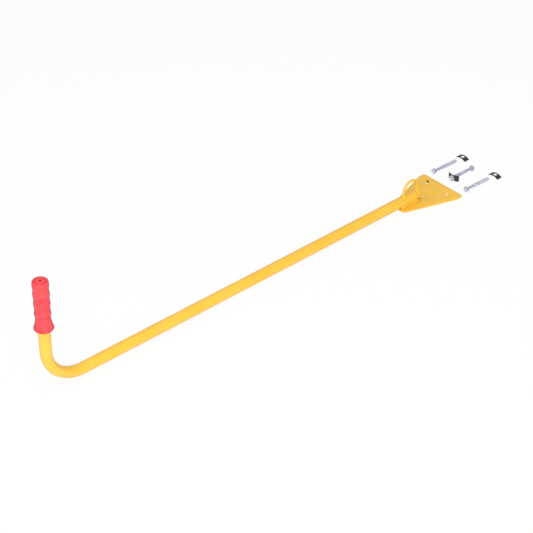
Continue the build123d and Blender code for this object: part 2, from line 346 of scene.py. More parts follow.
def arc(centre, radius, start, end, steps):
    """Points on a circle in the plane, from one angle in degrees to another."""
    angles = [math.radians(start + (end - start) * i / steps) for i in range(steps + 1)]
    return [(centre[0] + radius * math.cos(a), centre[1] + radius * math.sin(a)) for a in angles]


def rounded(polygon, radius, inset, steps):
    """A convex anticlockwise polygon with rounded corners, moved inwards by inset."""
    outline = []
    count = len(polygon)
    for i, corner in enumerate(polygon):
        corner = Vector(corner)
        back = (Vector(polygon[i - 1]) - corner).normalized()
        on = (Vector(polygon[(i + 1) % count]) - corner).normalized()
        half = back.angle(on) / 2
        centre = corner + (back + on).normalized() * (radius / math.sin(half))
        start = math.atan2(back.x, -back.y)
        sweep = math.pi - 2 * half
        for step in range(steps + 1):
            angle = start + sweep * step / steps
            reach = radius - inset
            outline.append(centre + Vector((math.cos(angle), math.sin(angle))) * reach)
    return outline


# ---- lever ----

def tube_stations():
    """(centre, inward, squeeze) along the centreline, from the plate's end to the handle's."""
    stations = []
    cut_end = Vector((tube_high.x, 0, TUBE_Z))
    for i in range(TUBE_RUN_STEPS):
        stations.append((cut_end.lerp(BEND_START, i / TUBE_RUN_STEPS), UP.copy(), 0.0))
    centre = BEND_START + UP * BEND_RADIUS
    for i in range(BEND_STEPS + 1):
        share = i / BEND_STEPS
        angle = BEND_ANGLE * share
        inward = Vector((math.sin(angle), 0, math.cos(angle)))
        squeeze = smooth(share / BEND_BLEND) * smooth((1 - share) / BEND_BLEND)
        stations.append((centre - inward * BEND_RADIUS, inward, squeeze))
    inward = stations[-1][1]
    for i in range(1, TUBE_HANDLE_STEPS + 1):
        distance = BEND_TANGENT + (HANDLE_LENGTH - BEND_TANGENT) * i / TUBE_HANDLE_STEPS
        stations.append((CORNER + HANDLE_AXIS * distance, inward, 0.0))
    return stations


def tube_ring(station, radius, shift=0.0):
    """The ring round a station, moved along the tube by shift, towards the handle."""
    centre, inward, squeeze = station
    forward = inward.cross(SIDE)
    tall = radius * (1 - BEND_FLATTEN * squeeze)
    wide = radius * (1 + BEND_WIDEN * squeeze)
    ring = []
    for angle in round_angles(TUBE_ROUND):
        point = centre + inward * (tall * math.cos(angle)) + SIDE * (wide * math.sin(angle))
        ring.append(point + forward * shift)
    return ring


def make_tube():
    stations = tube_stations()
    inner = TUBE_RADIUS - TUBE_WALL
    first, last = stations[0], stations[-1]
    soft = [(TUBE_EDGE * (1 - math.sin(a)), TUBE_EDGE * (1 - math.cos(a)))
            for a in (math.radians(degrees) for degrees in TUBE_EDGE_TURNS)]
    rings = [tube_ring(first, TUBE_RADIUS - inset, shift) for inset, shift in soft]
    rings += [tube_ring(station, TUBE_RADIUS) for station in stations[1:-1]]
    rings += [tube_ring(last, TUBE_RADIUS - inset, -shift) for inset, shift in reversed(soft)]
    rings += [tube_ring(last, inner)]
    rings += [tube_ring(station, inner) for station in reversed(stations[1:-1])]
    rings += [tube_ring(first, inner, TUBE_EDGE), tube_ring(first, inner + TUBE_EDGE / 2)]
    return loft("main_tube_coated", rings, TUBE_CREASE, looped=True)


def plate_polygon():
    shoulder = plate_high.x - PLATE_SHOULDER
    near = PLATE_NEAR_WIDTH / 2
    return [(plate_high.x, plate_low.y), (plate_high.x, plate_high.y), (shoulder, plate_high.y),
            (plate_low.x, near), (plate_low.x, -near), (shoulder, plate_low.y)]


def plate_holes():
    """(x, y, radius) of each hole, from the record's mounts."""
    mounts = {mount["name"]: mount for mount in frame["record"]["mounts"]}
    far, near = mounts["far_bolt_holes"], mounts["near_bolt_hole"]
    half = far["dims"]["spacing_y_mm"] / 2
    x, y = far["pos_m"][0] / MM, far["pos_m"][1] / MM
    return [(x, y + half, far["dims"]["hole_r_mm"]), (x, y - half, far["dims"]["hole_r_mm"]),
            (near["pos_m"][0] / MM, near["pos_m"][1] / MM, near["dims"]["r_mm"])]


def make_plate():
    quarter = [math.pi / 2 * i / PLATE_EDGE_STEPS for i in range(PLATE_EDGE_STEPS + 1)]
    low = [(PLATE_EDGE * (1 - math.sin(a)), PLATE_EDGE * (1 - math.cos(a))) for a in quarter]
    edge = low + [(inset, PLATE_TOP - height) for inset, height in reversed(low)]
    polygon = plate_polygon()
    shape = bmesh.new()
    loops = [[[shape.verts.new(Vector((p.x, p.y, height)) * MM)
               for p in rounded(polygon, PLATE_CORNER, inset, PLATE_CORNER_STEPS)]
              for inset, height in edge]]
    for x, y, radius in plate_holes():
        loops.append([[shape.verts.new(Vector((x + (radius + inset) * math.cos(a),
                                               y + (radius + inset) * math.sin(a), height)) * MM)
                       for a in round_angles(PLATE_HOLE_ROUND)] for inset, height in edge])
    for rows in loops:
        skin(shape, rows, looped=False)
    shape.edges.ensure_lookup_table()
    for row in (0, -1):
        outlines = []
        for rows in loops:
            ring = rows[row]
            outlines += [shape.edges.get((ring[i - 1], ring[i])) for i in range(len(ring))]
        filled = bmesh.ops.triangle_fill(shape, edges=outlines, use_beauty=True)
        for face in filled["geom"]:
            if isinstance(face, bmesh.types.BMFace):
                face.smooth = False
    return made(shape, "mounting_plate_coated", PLATE_CREASE)


def crescent(phase):
    """One ripple's height over its phase: a steep front and a long round back, about 0."""
    phase %= 1
    return math.sqrt(max(0.0, phase * (2 - phase))) - RIPPLE_MEAN


def ripple(distance, across):
    """Height of a bead's face: a crescent for each pass of the torch. across is 0 to 1 over it."""
    bow = RIPPLE_BOW * (1 - (2 * across - 1) ** 2)
    fade = min(1.0, math.sin(math.pi * across) / RIPPLE_FADE)
    return RIPPLE_HEIGHT * crescent((distance - bow) / RIPPLE_PITCH) * fade


def bead_swell(distance, length):
    """How much of its full section a bead has, 0 at its ends."""
    near = min(distance, length - distance) / BEAD_END
    return math.sqrt(max(0.0, 1 - (1 - min(1.0, near)) ** 2))


def tube_underside(y, radius):
    return TUBE_Z - math.sqrt(radius * radius - y * y)


def bulged(foot, toe, bulge, across):
    """A point on the arched line from foot to toe in a bead's section."""
    line = Vector(toe) - Vector(foot)
    outward = Vector((line.y, -line.x)).normalized()
    return Vector(foot) + line * across + outward * bulge * math.sin(math.pi * across)


def make_side_bead(node, side):
    low, high = corners(node)
    length = high.x - low.x
    steps = int(length / BEAD_STEP)
    inner = TUBE_RADIUS - BEAD_SINK
    floor = PLATE_TOP - BEAD_SINK
    rings = []
    for i in range(steps + 1):
        distance = length * i / steps
        swell = SIDE_BEAD_TIP + (1 - SIDE_BEAD_TIP) * bead_swell(distance, length)
        loose = SIDE_BEAD_FOOT_WANDER * wander(distance, 2 + side, SIDE_BEAD_FOOT_WAVE)
        foot_y = SIDE_BEAD_ROOT + (SIDE_BEAD_FOOT - SIDE_BEAD_ROOT + loose) * swell
        loose = SIDE_BEAD_TOE_WANDER * wander(distance, 9 + side, SIDE_BEAD_TOE_WAVE)
        toe_drop = SIDE_BEAD_TOE + loose
        drop = math.pi / 2 - (math.pi / 2 - toe_drop) * swell
        drop = min(drop, math.pi / 2 - math.asin(SIDE_BEAD_ROOT / inner) - SIDE_BEAD_ROOT_GAP)
        toe = (inner * math.cos(drop), TUBE_Z - inner * math.sin(drop))
        ring = []
        for k in range(BEAD_FACE_POINTS):
            across = k / (BEAD_FACE_POINTS - 1)
            rise = SIDE_BEAD_BULGE + ripple(distance, across)
            point = bulged((foot_y, floor), toe, rise * swell, across)
            ring.append((low.x + distance, side * point.x, point.y))
        for k in range(1, SIDE_BEAD_ROOT_POINTS + 1):
            y = toe[0] + (SIDE_BEAD_ROOT - toe[0]) * k / SIDE_BEAD_ROOT_POINTS
            ring.append((low.x + distance, side * y, tube_underside(y, inner)))
        ring.append((low.x + distance, side * SIDE_BEAD_ROOT, floor))
        rings.append(ring)
    return loft(node + "_bead", rings, BEAD_CREASE)


def make_end_bead():
    low, high = corners("plate_weld_end")
    length = high.y - low.y
    steps = int(length / BEAD_STEP)
    floor = PLATE_TOP - BEAD_SINK
    back = low.x - END_BEAD_BACK
    rings = []
    for i in range(steps + 1):
        distance = length * i / steps
        y = low.y + distance
        swell = bead_swell(distance * END_BEAD_BLUNT, length * END_BEAD_BLUNT)
        swell = END_BEAD_TIP + (1 - END_BEAD_TIP) * swell
        toe_z = floor + (tube_underside(y, END_BEAD_RIM) + END_BEAD_LIP - floor) * swell
        loose = END_BEAD_WANDER * wander(distance, 5, END_BEAD_WAVE)
        foot_x = low.x + END_BEAD_REACH * swell * (1 + loose)
        ring = []
        for k in range(BEAD_FACE_POINTS):
            across = k / (BEAD_FACE_POINTS - 1)
            rise = END_BEAD_BULGE + END_BEAD_RIPPLE * ripple(distance, across)
            point = bulged((foot_x, floor), (low.x, toe_z), rise * swell, across)
            ring.append((point.x, y, point.y))
        ring.append((back, y, toe_z))
        ring.append((back, y, floor))
        rings.append(ring)
    return loft("plate_weld_end_bead", rings, BEAD_CREASE)


def eye_line():
    """The eye's bar radius, its rear and front leg's x, its bend radius and its line's top."""
    low, high = corners("eye_loop")
    bar = (high.y - low.y) / 2
    rear, front = low.x + bar, high.x - bar
    return bar, rear, front, (front - rear) / 2, high.z - bar


def tube_top(y, radius):
    return TUBE_Z + math.sqrt(radius * radius - y * y)


def make_eye():
    bar, rear, front, radius, crown = eye_line()
    centre = Vector(((rear + front) / 2, 0, crown - radius))
    angles = round_angles(EYE_ROUND)

    def leg_ring(x, outward, height):
        """A ring round a leg, or its foot's line on the tube when height is None."""
        ring = []
        for angle in angles:
            y = bar * math.sin(angle)
            z = tube_top(y, TUBE_RADIUS) - BEAD_SINK if height is None else height
            ring.append((x + outward * bar * math.cos(angle), y, z))
        return ring

    leg = centre.z - TUBE_Z - TUBE_RADIUS
    heights = [TUBE_Z + TUBE_RADIUS + leg * k / EYE_LEG_STEPS for k in range(1, EYE_LEG_STEPS)]
    heights = [None] + heights
    rings = [leg_ring(rear, -1, height) for height in heights]
    for i in range(EYE_STEPS + 1):
        turn = math.pi - math.pi * i / EYE_STEPS
        outward = Vector((math.cos(turn), 0, math.sin(turn)))
        flat = 1 - EYE_FLATTEN * math.sin(turn)
        rings.append([
            centre + outward * (radius + bar * flat * math.cos(a)) + SIDE * (bar * math.sin(a))
            for a in angles])
    rings += [leg_ring(front, 1, height) for height in reversed(heights)]
    return loft("eye_loop_coated", rings, TUBE_CREASE)


def make_collar(node):
    """The bead round one foot of the eye."""
    low, high = corners(node)
    x = (low.x + high.x) / 2
    bar = eye_line()[0]
    sunk = TUBE_RADIUS - BEAD_SINK
    inner = bar - COLLAR_SINK
    angles = round_angles(COLLAR_ROUND)
    rings = []
    for k in range(COLLAR_FACE_STEPS + 1):
        across = k / COLLAR_FACE_STEPS
        arch = math.sin(math.pi * across)
        ring = []
        for angle in angles:
            cosine, sine = math.cos(angle), math.sin(angle)
            loose = (COLLAR_WANDER * wander(COLLAR_WANDER_ROUND * cosine, 21, COLLAR_WAVE)
                     + COLLAR_WANDER * wander(COLLAR_WANDER_ROUND * sine, 33, COLLAR_WAVE))
            phase = angle / TURN * COLLAR_RIPPLES + COLLAR_BOW * arch
            full = (COLLAR_BULGE + COLLAR_RIPPLE * crescent(phase)) * arch
            reach = inner + (COLLAR_THROAT + COLLAR_SINK + loose) * across + full
            rise = (COLLAR_HEIGHT + loose) * (1 - across) + full
            y = reach * sine
            ring.append((x + reach * cosine, y, tube_top(y, sunk) + rise))
        rings.append(ring)
    for reach in (bar + COLLAR_THROAT * COLLAR_SOLE, inner):
        ring = []
        for angle in angles:
            y = reach * math.sin(angle)
            ring.append((x + reach * math.cos(angle), y, tube_top(y, sunk - COLLAR_FLOOR)))
        rings.append(ring)
    return loft(node + "_bead", rings, BEAD_CREASE, looped=True)


def grip_outline(length):
    """(radius, height) from the vent's edge over the top, the ribs and the flange to the bore."""
    dome = curve_through([(radius, length + rise) for radius, rise in GRIP_DOME], GRIP_DOME_STEPS)
    side = [dome[-1]]
    for rib in range(GRIP_RIBS):
        crest = length - GRIP_TOP_CREST - rib * GRIP_RIB_PITCH
        side.append((GRIP_CREST, crest))
        side.append((GRIP_VALLEY - rib * GRIP_VALLEY_TAPER, crest - GRIP_RIB_PITCH / 2))
    flange_side = GRIP_FLANGE_THICKNESS / 2
    side.append((GRIP_FLANGE - GRIP_SHOULDER, GRIP_FLANGE_THICKNESS + GRIP_SHOULDER_RISE))
    ribs = curve_through(side, GRIP_RIB_STEPS)
    lip_centre = (GRIP_FLANGE - flange_side, flange_side)
    lip = arc(lip_centre, flange_side, GRIP_LIP_START, -90, GRIP_LIP_STEPS)
    bore_top = length - GRIP_CAP
    bore = TUBE_RADIUS + GRIP_BORE_GAP
    inside = [(bore + GRIP_BORE_CHAMFER, 0), (bore, GRIP_BORE_CHAMFER), (bore, bore_top),
              (GRIP_VENT, bore_top)]
    return dome + ribs[1:] + lip + inside


def make_grip():
    foot, top = along("grip", HANDLE_AXIS)
    origin = CORNER + HANDLE_AXIS * (foot - CORNER.dot(HANDLE_AXIS))
    matrix = place(origin, HANDLE_AXIS, ALONG)
    length = top - foot
    angles = round_angles(GRIP_ROUND)
    seams = (GRIP_ROUND // 4, GRIP_ROUND * 3 // 4)
    rings = []
    for radius, height in grip_outline(length):
        ring = turned_ring(matrix, radius, height, angles)
        if radius > GRIP_SEAM_START and height > GRIP_SEAM_FOOT:
            for i in seams:
                out = (ring[i] - matrix @ Vector((0, 0, height))).normalized()
                ring[i] = ring[i] + out * GRIP_SEAM
        rings.append(ring)
    return loft("grip_moulded", rings, GRIP_CREASE, looped=True)


# ---- fixing kit ----

def hexagon(turn):
    """The radius of a hexagon at an angle, with a flat facing local x when turn is 0."""
    half_flat = HEX_FLAT / 2
    sharp = HEX_HALF / math.cos(half_flat)

    def radius(angle):
        part = (angle - turn + half_flat) % HEX_FLAT - half_flat
        reach = HEX_HALF / math.cos(part)
        rise = (reach - HEX_HALF) / (sharp - HEX_HALF)
        return reach - HEX_SOFT * smooth(1 - (1 - rise) / HEX_WORN)

    return radius


def chamfered(turn, level, direction):
    """The height of a hexagon's chamfered edge at an angle. direction is +1 for a top edge."""
    outline = hexagon(turn)
    slope = math.tan(HEX_CHAMFER)
    return lambda angle: level - direction * (outline(angle) - HEX_TOP) * slope


def thread_radius(angle, height):
    """Radius of the bolt's thread where a right-hand helix passes this angle and height."""
    steps = len(THREAD_SHAPE)
    phase = (height / PITCH - angle / TURN) % 1 * steps
    here, after = THREAD_SHAPE[int(phase) % steps], THREAD_SHAPE[(int(phase) + 1) % steps]
    share = here + (after - here) * (phase - int(phase))
    return THREAD_RADIUS - THREAD_DEPTH * (1 - share)


def helix_rings(matrix, angles, top, bottom, radius):
    """Rings from top down to bottom that follow the thread, so that its crests run along edges.
    They are cut off at top and bottom. skin() joins each one's end to the ring a pitch above."""
    steps = len(THREAD_SHAPE)
    first = math.ceil(top / PITCH * steps) + 1
    last = math.floor((bottom / PITCH - angles[-1] / TURN) * steps) - 1
    rings = []
    for row in range(first, last - 1, -1):
        ring = []
        for angle in angles:
            height = min(top, max(bottom, (row / steps + angle / TURN) * PITCH))
            r = radius(angle, height)
            ring.append(matrix @ Vector((r * math.cos(angle), r * math.sin(angle), height)))
        rings.append(ring)
    return rings


def bolt_thread(angle, height):
    """The bolt's radius. Its thread starts a pitch below the plain shank and ends in a chamfer."""
    run_out = smooth((-PLAIN_LENGTH - height) / PITCH)
    radius = BLANK_RADIUS + (thread_radius(angle, height) - BLANK_RADIUS) * run_out
    return min(radius, THREAD_RADIUS - TIP_CHAMFER + height + BOLT_LENGTH)


def make_bolt(name, matrix):
    """A hex bolt: local z runs to the head, and the head's seat is at z 0."""
    angles = round_angles(HEX_ROUND)
    outline = hexagon(0)
    top = chamfered(0, HEAD_HEIGHT, 1)
    bend = HEAD_FILLET * HEAD_FILLET_BEND
    rows = [
        (HEX_TOP * HEAD_FLAT, HEAD_HEIGHT), (HEX_TOP, HEAD_HEIGHT), (outline, top),
        (outline, WASHER_FACE_HEIGHT), (WASHER_FACE, WASHER_FACE_HEIGHT), (WASHER_FACE, 0.0),
        (BLANK_RADIUS + HEAD_FILLET, 0.0), (BLANK_RADIUS + bend, -bend),
        (BLANK_RADIUS, -HEAD_FILLET), (BLANK_RADIUS, -PLAIN_LENGTH / 2)]
    rings = [turned_ring(matrix, radius, height, angles) for radius, height in rows]
    rings += helix_rings(matrix, angles, -PLAIN_LENGTH, -BOLT_LENGTH, bolt_thread)
    threaded = range(len(rows), len(rings))
    return loft(name, rings, KIT_CREASE, threaded=threaded)


def make_nut(matrix, low, high):
    """A hex nut between two heights on its bolt's axis. Its thread meshes with the bolt's."""
    angles = round_angles(HEX_ROUND, NUT_TURN)
    turn = NUT_TURN + HEX_FLAT / 2
    outline = hexagon(turn)
    rows = [(NUT_MOUTH, low), (HEX_TOP, low), (outline, chamfered(turn, low, -1)),
            (outline, chamfered(turn, high, 1)), (HEX_TOP, high), (NUT_MOUTH, high)]
    rings = [turned_ring(matrix, radius, height, angles) for radius, height in rows]

    def bore(angle, height):
        inner = thread_radius(angle, height) + NUT_CLEARANCE
        return max(inner, NUT_MOUTH - (height - low), NUT_MOUTH - (high - height))

    rings += helix_rings(matrix, angles, high, low, bore)
    threaded = range(len(rows), len(rings))
    return loft("hex_nut_threaded", rings, KIT_CREASE, looped=True, threaded=threaded)


def saddle_section():
    """(share, shift, depth) round a saddle washer's section: how far along from the hole to the
    outline, how much further out, and how far above the inner face. It runs over the top and back
    underneath."""
    edge, bend, thick = SADDLE_EDGE, SADDLE_EDGE * SADDLE_EDGE_BEND, SADDLE_THICKNESS
    top = [(0, 0.0, thick - edge), (0, bend, thick - bend), (0, edge, thick)]
    top += [(i / SADDLE_ACROSS, 0.0, thick) for i in range(1, SADDLE_ACROSS)]
    top += [(1, -edge, thick), (1, -bend, thick - bend), (1, 0.0, thick - edge)]
    return top + [(share, shift, thick - depth) for share, shift, depth in reversed(top)]


def make_saddle(name, matrix):
    """A curved square washer: local z points out of its arch, and its inner crown is at 0."""
    middle = SADDLE_BEND + SADDLE_THICKNESS / 2
    sweep = math.asin(SADDLE_CHORD / 2 / (SADDLE_BEND + SADDLE_THICKNESS))
    half_x, half_v = SADDLE_LENGTH / 2, middle * sweep
    box = [(half_x, -half_v), (half_x, half_v), (-half_x, half_v), (-half_x, -half_v)]
    outline = rounded(box, SADDLE_CORNER, 0.0, SADDLE_CORNER_STEPS)
    dense = []
    for a, b in zip(outline, outline[1:] + outline[:1]):
        pieces = max(1, round((b - a).length / SADDLE_STEP))
        dense += [a.lerp(b, i / pieces) for i in range(pieces)]
    rings = []
    for share, shift, depth in saddle_section():
        ring = []
        for point in dense:
            outward = point.normalized()
            hole = outward * SADDLE_HOLE
            spot = hole.lerp(point, share) + outward * shift
            angle = spot.y / middle
            radius = SADDLE_BEND + depth
            height = radius * math.cos(angle) - SADDLE_BEND
            ring.append(matrix @ Vector((spot.x, radius * math.sin(angle), height)))
        rings.append(ring)
    return loft(name, rings, KIT_CREASE, looped=True)


def side_bolt_matrix(node):
    """Where a side bolt lies, with its head's flat and its tip on the floor."""
    low, high = corners(node)
    tilt = math.asin((HEX_HALF - THREAD_RADIUS) / BOLT_LENGTH)
    axis = Vector((-math.cos(tilt), 0, math.sin(tilt)))
    seat_along = along(node, axis)[1] - HEAD_HEIGHT
    y = (low.y + high.y) / 2
    seat = Vector((0, y, HEX_HALF))
    seat.x = (seat_along - seat.z * axis.z) / axis.x
    return place(seat, axis, UP)


# ---- materials ----
# Colours are linear red, green and blue. A pair is the range that a slow drift runs over.
# Grain and roughness are noise: its size in mm, its detail, and the low and high of it that count.
# Two more numbers are what these two become, instead of 0 and 1.

YELLOW = ((0.85, 0.48, 0.034), (0.89, 0.52, 0.046))
YELLOW_FLECK = (0.98, 0.66, 0.07)
YELLOW_CORNER_SHADE = (0.72, 0.33, 0.006)         # painted shade in corners
YELLOW_THIN = (0.97, 0.66, 0.12)          # drawn off edges
# painted shade on faces seen edge on
YELLOW_EDGE_ON_SHADE = (0.74, 0.34, 0.002)
YELLOW_DRIFT_GRAIN = (70, 3, 0.35, 0.65)
YELLOW_FLECK_GRAIN = (0.9, 2, 0.45, 0.75, 0.0, 0.12)
YELLOW_THIN_GRAIN = (9, 3, 0.35, 0.7, 0.15, 0.6)
YELLOW_CHIP_GRAIN = (3.5, 4, 0.64, 0.68)
YELLOW_ROUGHNESS = (14, 3, 0.3, 0.7, 0.30, 0.42)
BARE_STEEL = (0.30, 0.29, 0.27)
# a dark spot beside the far left hole
HOLE_SPOT_COLOUR = (0.060, 0.048, 0.018)
HOLE_SPOT_SIZE = 3.5
HOLE_SPOT_OFFSET = (6.6, 1.6)
RED = ((0.80, 0.050, 0.058), (0.88, 0.068, 0.078))
RED_SCUFF = (0.93, 0.22, 0.22)
# painted shade in grooves
RED_GROOVE_SHADE = (0.45, 0.005, 0.016)
# painted shade on faces turned down
RED_UNDERSIDE_SHADE = (0.50, 0.007, 0.014)
# painted shade on the flange's lip
RED_LIP_SHADE = (0.52, 0.006, 0.020)
RED_LIP_SHADE_HEIGHT = 0.8                      # share of the flange's thickness that the painted shade on the lip covers
RED_LIP_SHADE_BLUR = 0.8
# painted shade on faces seen edge on
RED_EDGE_ON_SHADE = (0.50, 0.008, 0.060)
RED_DRIFT_GRAIN = (26, 3, 0.35, 0.65)
RED_SCUFF_GRAIN = (5, 4, 0.4, 0.7, 0.0, 0.5)
RED_ROUGHNESS = (9, 3, 0.3, 0.7, 0.42, 0.56)
ZINC = ((0.65, 0.69, 0.80), (0.71, 0.75, 0.84))
# painted highlight on edges
ZINC_EDGE_HIGHLIGHT = (0.75, 0.79, 0.87)
# painted shade in thread roots and corners
ZINC_CREVICE_SHADE = (0.20, 0.21, 0.28)
ZINC_DRIFT_GRAIN = (16, 2, 0.35, 0.68)
ZINC_ROUGHNESS = (3, 3, 0.3, 0.7, 0.36, 0.44)
BLACK = ((0.028, 0.028, 0.033), (0.040, 0.039, 0.045))
BLACK_WORN = (0.22, 0.22, 0.24)
BLACK_DRIFT_GRAIN = (5, 3, 0.35, 0.65)
BLACK_WORN_GRAIN = (1.8, 4, 0.5, 0.62, 0.0, 0.8)
BLACK_ROUGHNESS = (3, 3, 0.3, 0.7, 0.42, 0.6)
BEVEL_SAMPLES = 4
EDGE_MATCH = (0.995, 0.8)                 # of bevelled and plain normal, on a face and on an edge
SHADE_SAMPLES = 8
PATCH_GRAIN = (2.2, 3, 0.2, 0.8)
PATCH_RAGGED = (0.7, 1.3)                 # the least and most of its size that a patch reaches
PATCH_BLUR = 0.25                         # share of its size over which its border fades
# Numbers of a mix node's inputs and outputs, which share their names.
MIX_VALUES = (2, 3)
MIX_COLOURS = (6, 7)
MIX_COLOUR_OUT = 2


def fresh_material(name):
    material = bpy.data.materials.new(name)
    material.use_nodes = True
    return material, material.node_tree, material.node_tree.nodes["Principled BSDF"]


def put(tree, node, inputs):
    """Sets a shader node's inputs, by name or number, to values or to other nodes' outputs."""
    for key, value in inputs.items():
        if isinstance(value, bpy.types.NodeSocket):
            tree.links.new(value, node.inputs[key])
        else:
            node.inputs[key].default_value = value


def add(tree, kind, inputs=None, **settings):
    node = tree.nodes.new(kind)
    for key, value in settings.items():
        setattr(node, key, value)
    put(tree, node, inputs or {})
    return node


def grain(tree, size, detail=2.0, rough=0.5):
    """Noise whose features are about size mm, from 0 to 1."""
    where = add(tree, "ShaderNodeTexCoord").outputs["Object"]
    made_noise = add(tree, "ShaderNodeTexNoise", {
        "Vector": where, "Scale": 1 / (size * MM), "Detail": detail, "Roughness": rough})
    return made_noise.outputs["Fac"]


def spread(tree, value, low, high, to_low=0.0, to_high=1.0):
    """The range low to high stretched over to_low to to_high, and held there beyond it."""
    return add(tree, "ShaderNodeMapRange", {
        "Value": value, "From Min": low, "From Max": high, "To Min": to_low, "To Max": to_high},
        clamp=True).outputs["Result"]


def patches(tree, size, detail, low, high, to_low=0.0, to_high=1.0):
    """Grain with its range low to high stretched over to_low to to_high."""
    return spread(tree, grain(tree, size, detail), low, high, to_low, to_high)


def times(tree, a, b):
    return add(tree, "ShaderNodeMath", {0: a, 1: b}, operation="MULTIPLY").outputs[0]


def blend_colour(tree, share, first, second):
    """first where share is 0 and second where it is 1."""
    mixer = add(tree, "ShaderNodeMix", {"Factor": share}, data_type="RGBA")
    for key, colour in zip(MIX_COLOURS, (first, second)):
        plain = not isinstance(colour, bpy.types.NodeSocket)
        put(tree, mixer, {key: (*colour, 1) if plain else colour})
    return mixer.outputs[MIX_COLOUR_OUT]


def coated(tree, first, layers):
    """The colour first with (where, strength, colour) layers over it."""
    for where, strength, colour in layers:
        share = where if strength == 1 else times(tree, where, strength)
        first = blend_colour(tree, share, first, colour)
    return first


def edges(tree, radius):
    """1 along sharp edges, 0 on plain faces, over a band about radius mm wide."""
    softened = add(tree, "ShaderNodeBevel", {"Radius": radius * MM}, samples=BEVEL_SAMPLES)
    plain = add(tree, "ShaderNodeNewGeometry")
    match = add(tree, "ShaderNodeVectorMath", {
        0: softened.outputs["Normal"], 1: plain.outputs["Normal"]}, operation="DOT_PRODUCT")
    return spread(tree, match.outputs["Value"], *EDGE_MATCH)


def crevice_shade(tree, distance, open_to=0.75, deep=0.2):
    """Mask for painted shade: 1 deep in a corner, 0 in the open. Both limits are the share that is
    free within distance.
    """
    shade = add(
        tree, "ShaderNodeAmbientOcclusion", {"Distance": distance * MM}, samples=SHADE_SAMPLES)
    return spread(tree, shade.outputs["AO"], open_to, deep)


def underside(tree, start, end):
    """Mask for painted shade: 0 where the normal's height is above start, 1 where it is below end.
    """
    normal = add(tree, "ShaderNodeNewGeometry").outputs["Normal"]
    height = add(tree, "ShaderNodeSeparateXYZ", {"Vector": normal}).outputs["Z"]
    return spread(tree, height, start, end)


def lower_than(tree, height, blur):
    """1 below a height in mm in the row frame, 0 above it, with a soft step between."""
    where = add(tree, "ShaderNodeTexCoord").outputs["Object"]
    level = add(tree, "ShaderNodeSeparateXYZ", {"Vector": where}).outputs["Z"]
    return spread(tree, level, (height + blur) * MM, (height - blur) * MM)


def rim(tree, start, end):
    """Mask for painted shade: 0 on faces turned to the camera, 1 on those seen almost edge on."""
    facing = add(tree, "ShaderNodeLayerWeight").outputs["Facing"]
    return spread(tree, facing, start, end)


def patch(tree, centre, size):
    """1 within an uneven spot about size mm in radius round a point in the row frame, 0 outside."""
    where = add(tree, "ShaderNodeTexCoord").outputs["Object"]
    away = add(tree, "ShaderNodeVectorMath", {0: where, 1: centre * MM}, operation="DISTANCE")
    ragged = patches(tree, *PATCH_GRAIN, *(share * size * MM for share in PATCH_RAGGED))
    over = add(tree, "ShaderNodeMath", {0: away.outputs["Value"], 1: ragged}, operation="SUBTRACT")
    return spread(tree, over.outputs[0], PATCH_BLUR * size * MM, -PATCH_BLUR * size * MM)


def bumped(tree, layers):
    """A normal from (height socket, depth in mm) layers."""
    normal = None
    for height, depth in layers:
        inputs = {"Height": height, "Distance": depth * MM, "Strength": 1.0}
        if normal is not None:
            inputs["Normal"] = normal
        normal = add(tree, "ShaderNodeBump", inputs).outputs["Normal"]
    return normal


def yellow_coat():
    """Powder coat: orange peel, slow drift, thin on edges with a few chips, a dark spot by the far
    left hole, painted shade in corners and on faces seen edge on.
    """
    material, tree, surface = fresh_material("yellow_powder_coat")
    chipped = times(tree, edges(tree, radius=0.45), patches(tree, *YELLOW_CHIP_GRAIN))
    colour = coated(tree, blend_colour(tree, patches(tree, *YELLOW_DRIFT_GRAIN), *YELLOW), [
        (patches(tree, *YELLOW_FLECK_GRAIN), 1, YELLOW_FLECK),
        # painted shade in corners
        (crevice_shade(tree, distance=4), 0.3, YELLOW_CORNER_SHADE),
        (edges(tree, radius=0.7), patches(tree, *YELLOW_THIN_GRAIN), YELLOW_THIN),
        # painted shade on faces seen edge on
        (rim(tree, start=0.55, end=0.85), 0.6, YELLOW_EDGE_ON_SHADE),
        # a dark spot beside the far left hole
        (patch(tree, HOLE_SPOT_CENTRE, HOLE_SPOT_SIZE), 1, HOLE_SPOT_COLOUR),
        (chipped, 0.8, BARE_STEEL)])
    peel = grain(tree, 1.6, detail=1, rough=0.4)
    fine = grain(tree, 0.35, detail=2)
    put(tree, surface, {
        "Base Color": colour,
        "Roughness": patches(tree, *YELLOW_ROUGHNESS),
        "Specular IOR Level": 0.6,
        "Normal": bumped(tree, [(peel, 0.05), (fine, 0.012)])})
    return material


